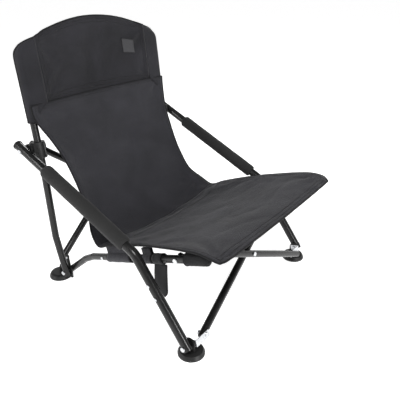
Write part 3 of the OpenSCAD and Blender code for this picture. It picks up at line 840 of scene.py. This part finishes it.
def pocket_grid(side):
    origin, forwards, up, out = on_side_tube(TIP_Y, side)
    grid = np.zeros((len(POCKET), POCKET_COLUMNS, 3))
    for i, (place, radius) in enumerate(POCKET):
        for j in range(POCKET_COLUMNS):
            turn = 2 * math.pi * j / POCKET_COLUMNS
            lift = 1.03 if math.sin(turn) > 0.8 else 1.0
            round_tube = out * math.cos(turn) + up * math.sin(turn) * lift
            grid[i, j] = origin + forwards * place + round_tube * radius
    return grid


def strap_grid():
    origin, forwards, up, out = on_side_tube(STRAP_Y - Y_SHIFT, -1)
    grid = np.zeros((STRAP_ROWS, RING, 3))
    for i in range(STRAP_ROWS):
        for j in range(RING):
            turn = 2 * math.pi * j / RING
            radius = LOOP_RADIUS + 0.25 * math.sin(3 * turn + i)
            along = forwards * (STRAP_WIDE * i / (STRAP_ROWS - 1))
            grid[i, j] = origin + along + (out * math.cos(turn) + up * math.sin(turn)) * radius
    return grid


for side, name in SIDES:
    body = name + "_side"
    loop_edges = []
    for k, row in enumerate(LOOPS):
        loop_mid = loop_grid(side, *row)
        loop = cloth_solid(f"{name}_side_loop_{k + 1}", loop_mid, SLING, thick=SLEEVE_CLOTH)
        declare(loop, body, [name + "_side_sleeves"] if k == 0 else ())
        declare_sheet(loop_mid)
        loop_edges += [resample(loop_mid[0], 4), resample(loop_mid[-1], 4)]
    loop_binding = tubes(name + "_side_loop_edges", loop_edges, 1.5, BINDING, sides=8)
    declare(loop_binding, body)
    pocket_mid = pocket_grid(side)
    pocket = cloth_solid(name + "_corner_pocket_cloth", pocket_mid, BINDING, thick=POCKET_CLOTH, wrap=True,
                         flip=side < 0)
    declare(pocket, body, [name + "_corner_pocket"])
    mouth = tubes(name + "_corner_pocket_edge", [resample(closed(pocket_mid[0]), 3)], 1.4, BINDING, sides=8)
    declare(mouth, body)
    declare_sheet(closed(pocket_mid))

strap_mid = strap_grid()
strap = cloth_solid("side_strap_webbing", strap_mid, WEBBING, thick=SLEEVE_CLOTH, wrap=True)
declare(strap, "right_side", ["side_strap"])
declare_sheet(closed(strap_mid))

# ---------------------------------------------------------------- bound tab that hangs from the strap
TAB_ROWS, TAB_COLUMNS = 15, 9
TAB_RAISE = 9               # its top goes this far up behind the strap
TAB_BINDING = 1.6

tab_low, tab_high = [np.array(corner) * 1000 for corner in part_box("hanging_tab")]
tab_middle = (tab_low + tab_high) / 2
tab_mid = np.zeros((TAB_ROWS, TAB_COLUMNS, 3))
for i in range(TAB_ROWS):
    for j in range(TAB_COLUMNS):
        down, across = i / (TAB_ROWS - 1), j / (TAB_COLUMNS - 1)
        narrowing = 1 - 0.45 * max(0.0, (down - 0.78) / 0.22) ** 2.5
        half_out = (tab_high[1] - tab_low[1] - 2 * TAB_BINDING) * (across - 0.5) * narrowing
        tab_mid[i, j] = (tab_middle[0] + 1.2 * math.sin(down * 2.6) * math.cos(across * 3),
                         tab_middle[1] + half_out + 1.5 * math.sin(down * 3.0),
                         tab_high[2] + TAB_RAISE + (tab_low[2] - tab_high[2] - 2) * down)
tab = cloth_solid("hanging_tab_cloth", tab_mid, WEBBING, thick=SLEEVE_CLOTH)
declare(tab, "right_side", ["hanging_tab"])
tab_binding = tubes("hanging_tab_binding", [border(tab_mid)], TAB_BINDING, BINDING, sides=8)
declare(tab_binding, "right_side")
declare_sheet(tab_mid)

declare_sheet(head_mid)
declare_sheet(patch_mid)
declare_sheet(back_mid)
declare_sheet(seat_mid)

# ---------------------------------------------------------------- foam grips on the arms
ARM_KNEE = np.array([150 - Y_SHIFT, 214.0])         # y and z of the arm tube's bend
ARM_END = upright_point(0, 352, -8)[1:]             # and of its rear pivot
GRIP_REAR, GRIP_FRONT = 82, 30                      # how far the grip stays from the pivot and the bend
GRIP_RADIUS = 16.9
# a grip's rounded end: distance from the end, and radius
GRIP_END = [(0.0, 11.3), (0.2, 13.2), (1.2, 15.2), (3.0, 16.3), (6.0, 16.8)]

arm_run = (ARM_END - ARM_KNEE) / np.linalg.norm(ARM_END - ARM_KNEE)
grip_rear, grip_front = ARM_END - arm_run * GRIP_REAR, ARM_KNEE + arm_run * GRIP_FRONT
grip_length = np.linalg.norm(grip_front - grip_rear)
grip_run = (grip_front - grip_rear) / grip_length
for side, name in SIDES:
    profile = list(GRIP_END)
    for s in np.linspace(12, grip_length - 12, 34):
        profile.append((s, GRIP_RADIUS + 0.16 * math.sin(s * 0.09) + 0.1 * math.sin(s * 0.31 + side)))
    profile += [(grip_length - s, radius) for s, radius in reversed(GRIP_END)]
    grip_line = [(ARM_X * side, *(grip_rear + grip_run * s)) for s, _ in profile]
    grip = tubes(name + "_foam_grip", [grip_line], [radius for _, radius in profile], FOAM, sides=40)
    declare(grip, name + "_arm", [name + "_arm_grip"])

# ---------------------------------------------------------------- floor and world
FLOOR_HALF, FLOOR_DOWN = 90, 0.0005     # metres

floor_material, _, floor_shader = new_material("studio_floor")
floor_shader.inputs["Base Color"].default_value = (0.9, 0.9, 0.9, 1)
floor_shader.inputs["Roughness"].default_value = 0.8
floor_shader.inputs["Specular IOR Level"].default_value = 0.1
floor_shader.inputs["Emission Color"].default_value = (1, 1, 1, 1)
floor_shader.inputs["Emission Strength"].default_value = 0.7
floor_uvs = [(0, 0), (1, 0), (1, 1), (0, 1)]
floor_points = [((2 * u - 1) * FLOOR_HALF, (2 * v - 1) * FLOOR_HALF, 0) for u, v in floor_uvs]
floor = make("studio_floor", floor_points, [(0, 1, 2, 3)], floor_uvs, floor_material, smooth=False)
floor.location.z = -FLOOR_DOWN

world = bpy.data.worlds.new("studio")
bpy.context.scene.world = world
world.use_nodes = True
world_tree = world.node_tree
background = world_tree.nodes["Background"]
background.inputs[0].default_value = (1, 1, 1, 1)
# white at the horizon, dim overhead
direction = add_node(world_tree, "ShaderNodeSeparateXYZ")
world_tree.links.new(space(world_tree, "Generated"), direction.inputs[0])
world_tree.links.new(map_range(world_tree, direction.outputs[2], 0.12, 0.4, 1.0, 0.26), background.inputs[1])


# ---------------------------------------------------------------- lights
def area_light(name, place, target, size, power):
    light = bpy.data.lights.new(name, "AREA")
    light.shape = "RECTANGLE"
    light.size, light.size_y, light.energy = size[0], size[1], power
    lamp = bpy.data.objects.new(name, light)
    lamp.location = place
    lamp.rotation_euler = (Vector(target) - Vector(place)).to_track_quat("-Z", "Y").to_euler()
    bpy.context.scene.collection.objects.link(lamp)


area_light("key", (-1.5, -1.1, 2.3), (0, 0, 0.3), (0.7, 0.5), 46)
area_light("side", (-2.2, 1.0, 1.4), (0, 0, 0.3), (0.3, 1.6), 24)
area_light("rim", (1.8, 1.6, 1.9), (0, 0, 0.35), (0.8, 0.7), 22)
area_light("front", (-0.5, -2.6, 0.75), (0, 0, 0.3), (0.5, 0.9), 34)

# ---------------------------------------------------------------- camera
CAMERA_PLACE = (-0.8948, -0.7332, 0.7592)
CAMERA_TURN, CAMERA_RISE = math.radians(-53.19), math.radians(25.08)

camera = bpy.data.cameras.new("camera")
camera.sensor_width = 36
camera.lens = 42.75
camera.shift_x, camera.shift_y = 0.012, -0.0045
camera_object = bpy.data.objects.new("camera", camera)
bpy.context.scene.collection.objects.link(camera_object)
to_right = Vector((math.cos(CAMERA_TURN), math.sin(CAMERA_TURN), 0))
level = math.cos(CAMERA_RISE)
to_back = Vector((math.sin(CAMERA_TURN) * level, -math.cos(CAMERA_TURN) * level, math.sin(CAMERA_RISE)))
turned = Matrix((to_right, to_back.cross(to_right), to_back)).transposed().to_4x4()
camera_object.matrix_world = Matrix.Translation(CAMERA_PLACE) @ turned
bpy.context.scene.camera = camera_object
bpy.context.scene.view_settings.view_transform = "Standard"
bpy.context.scene.view_settings.look = "None"
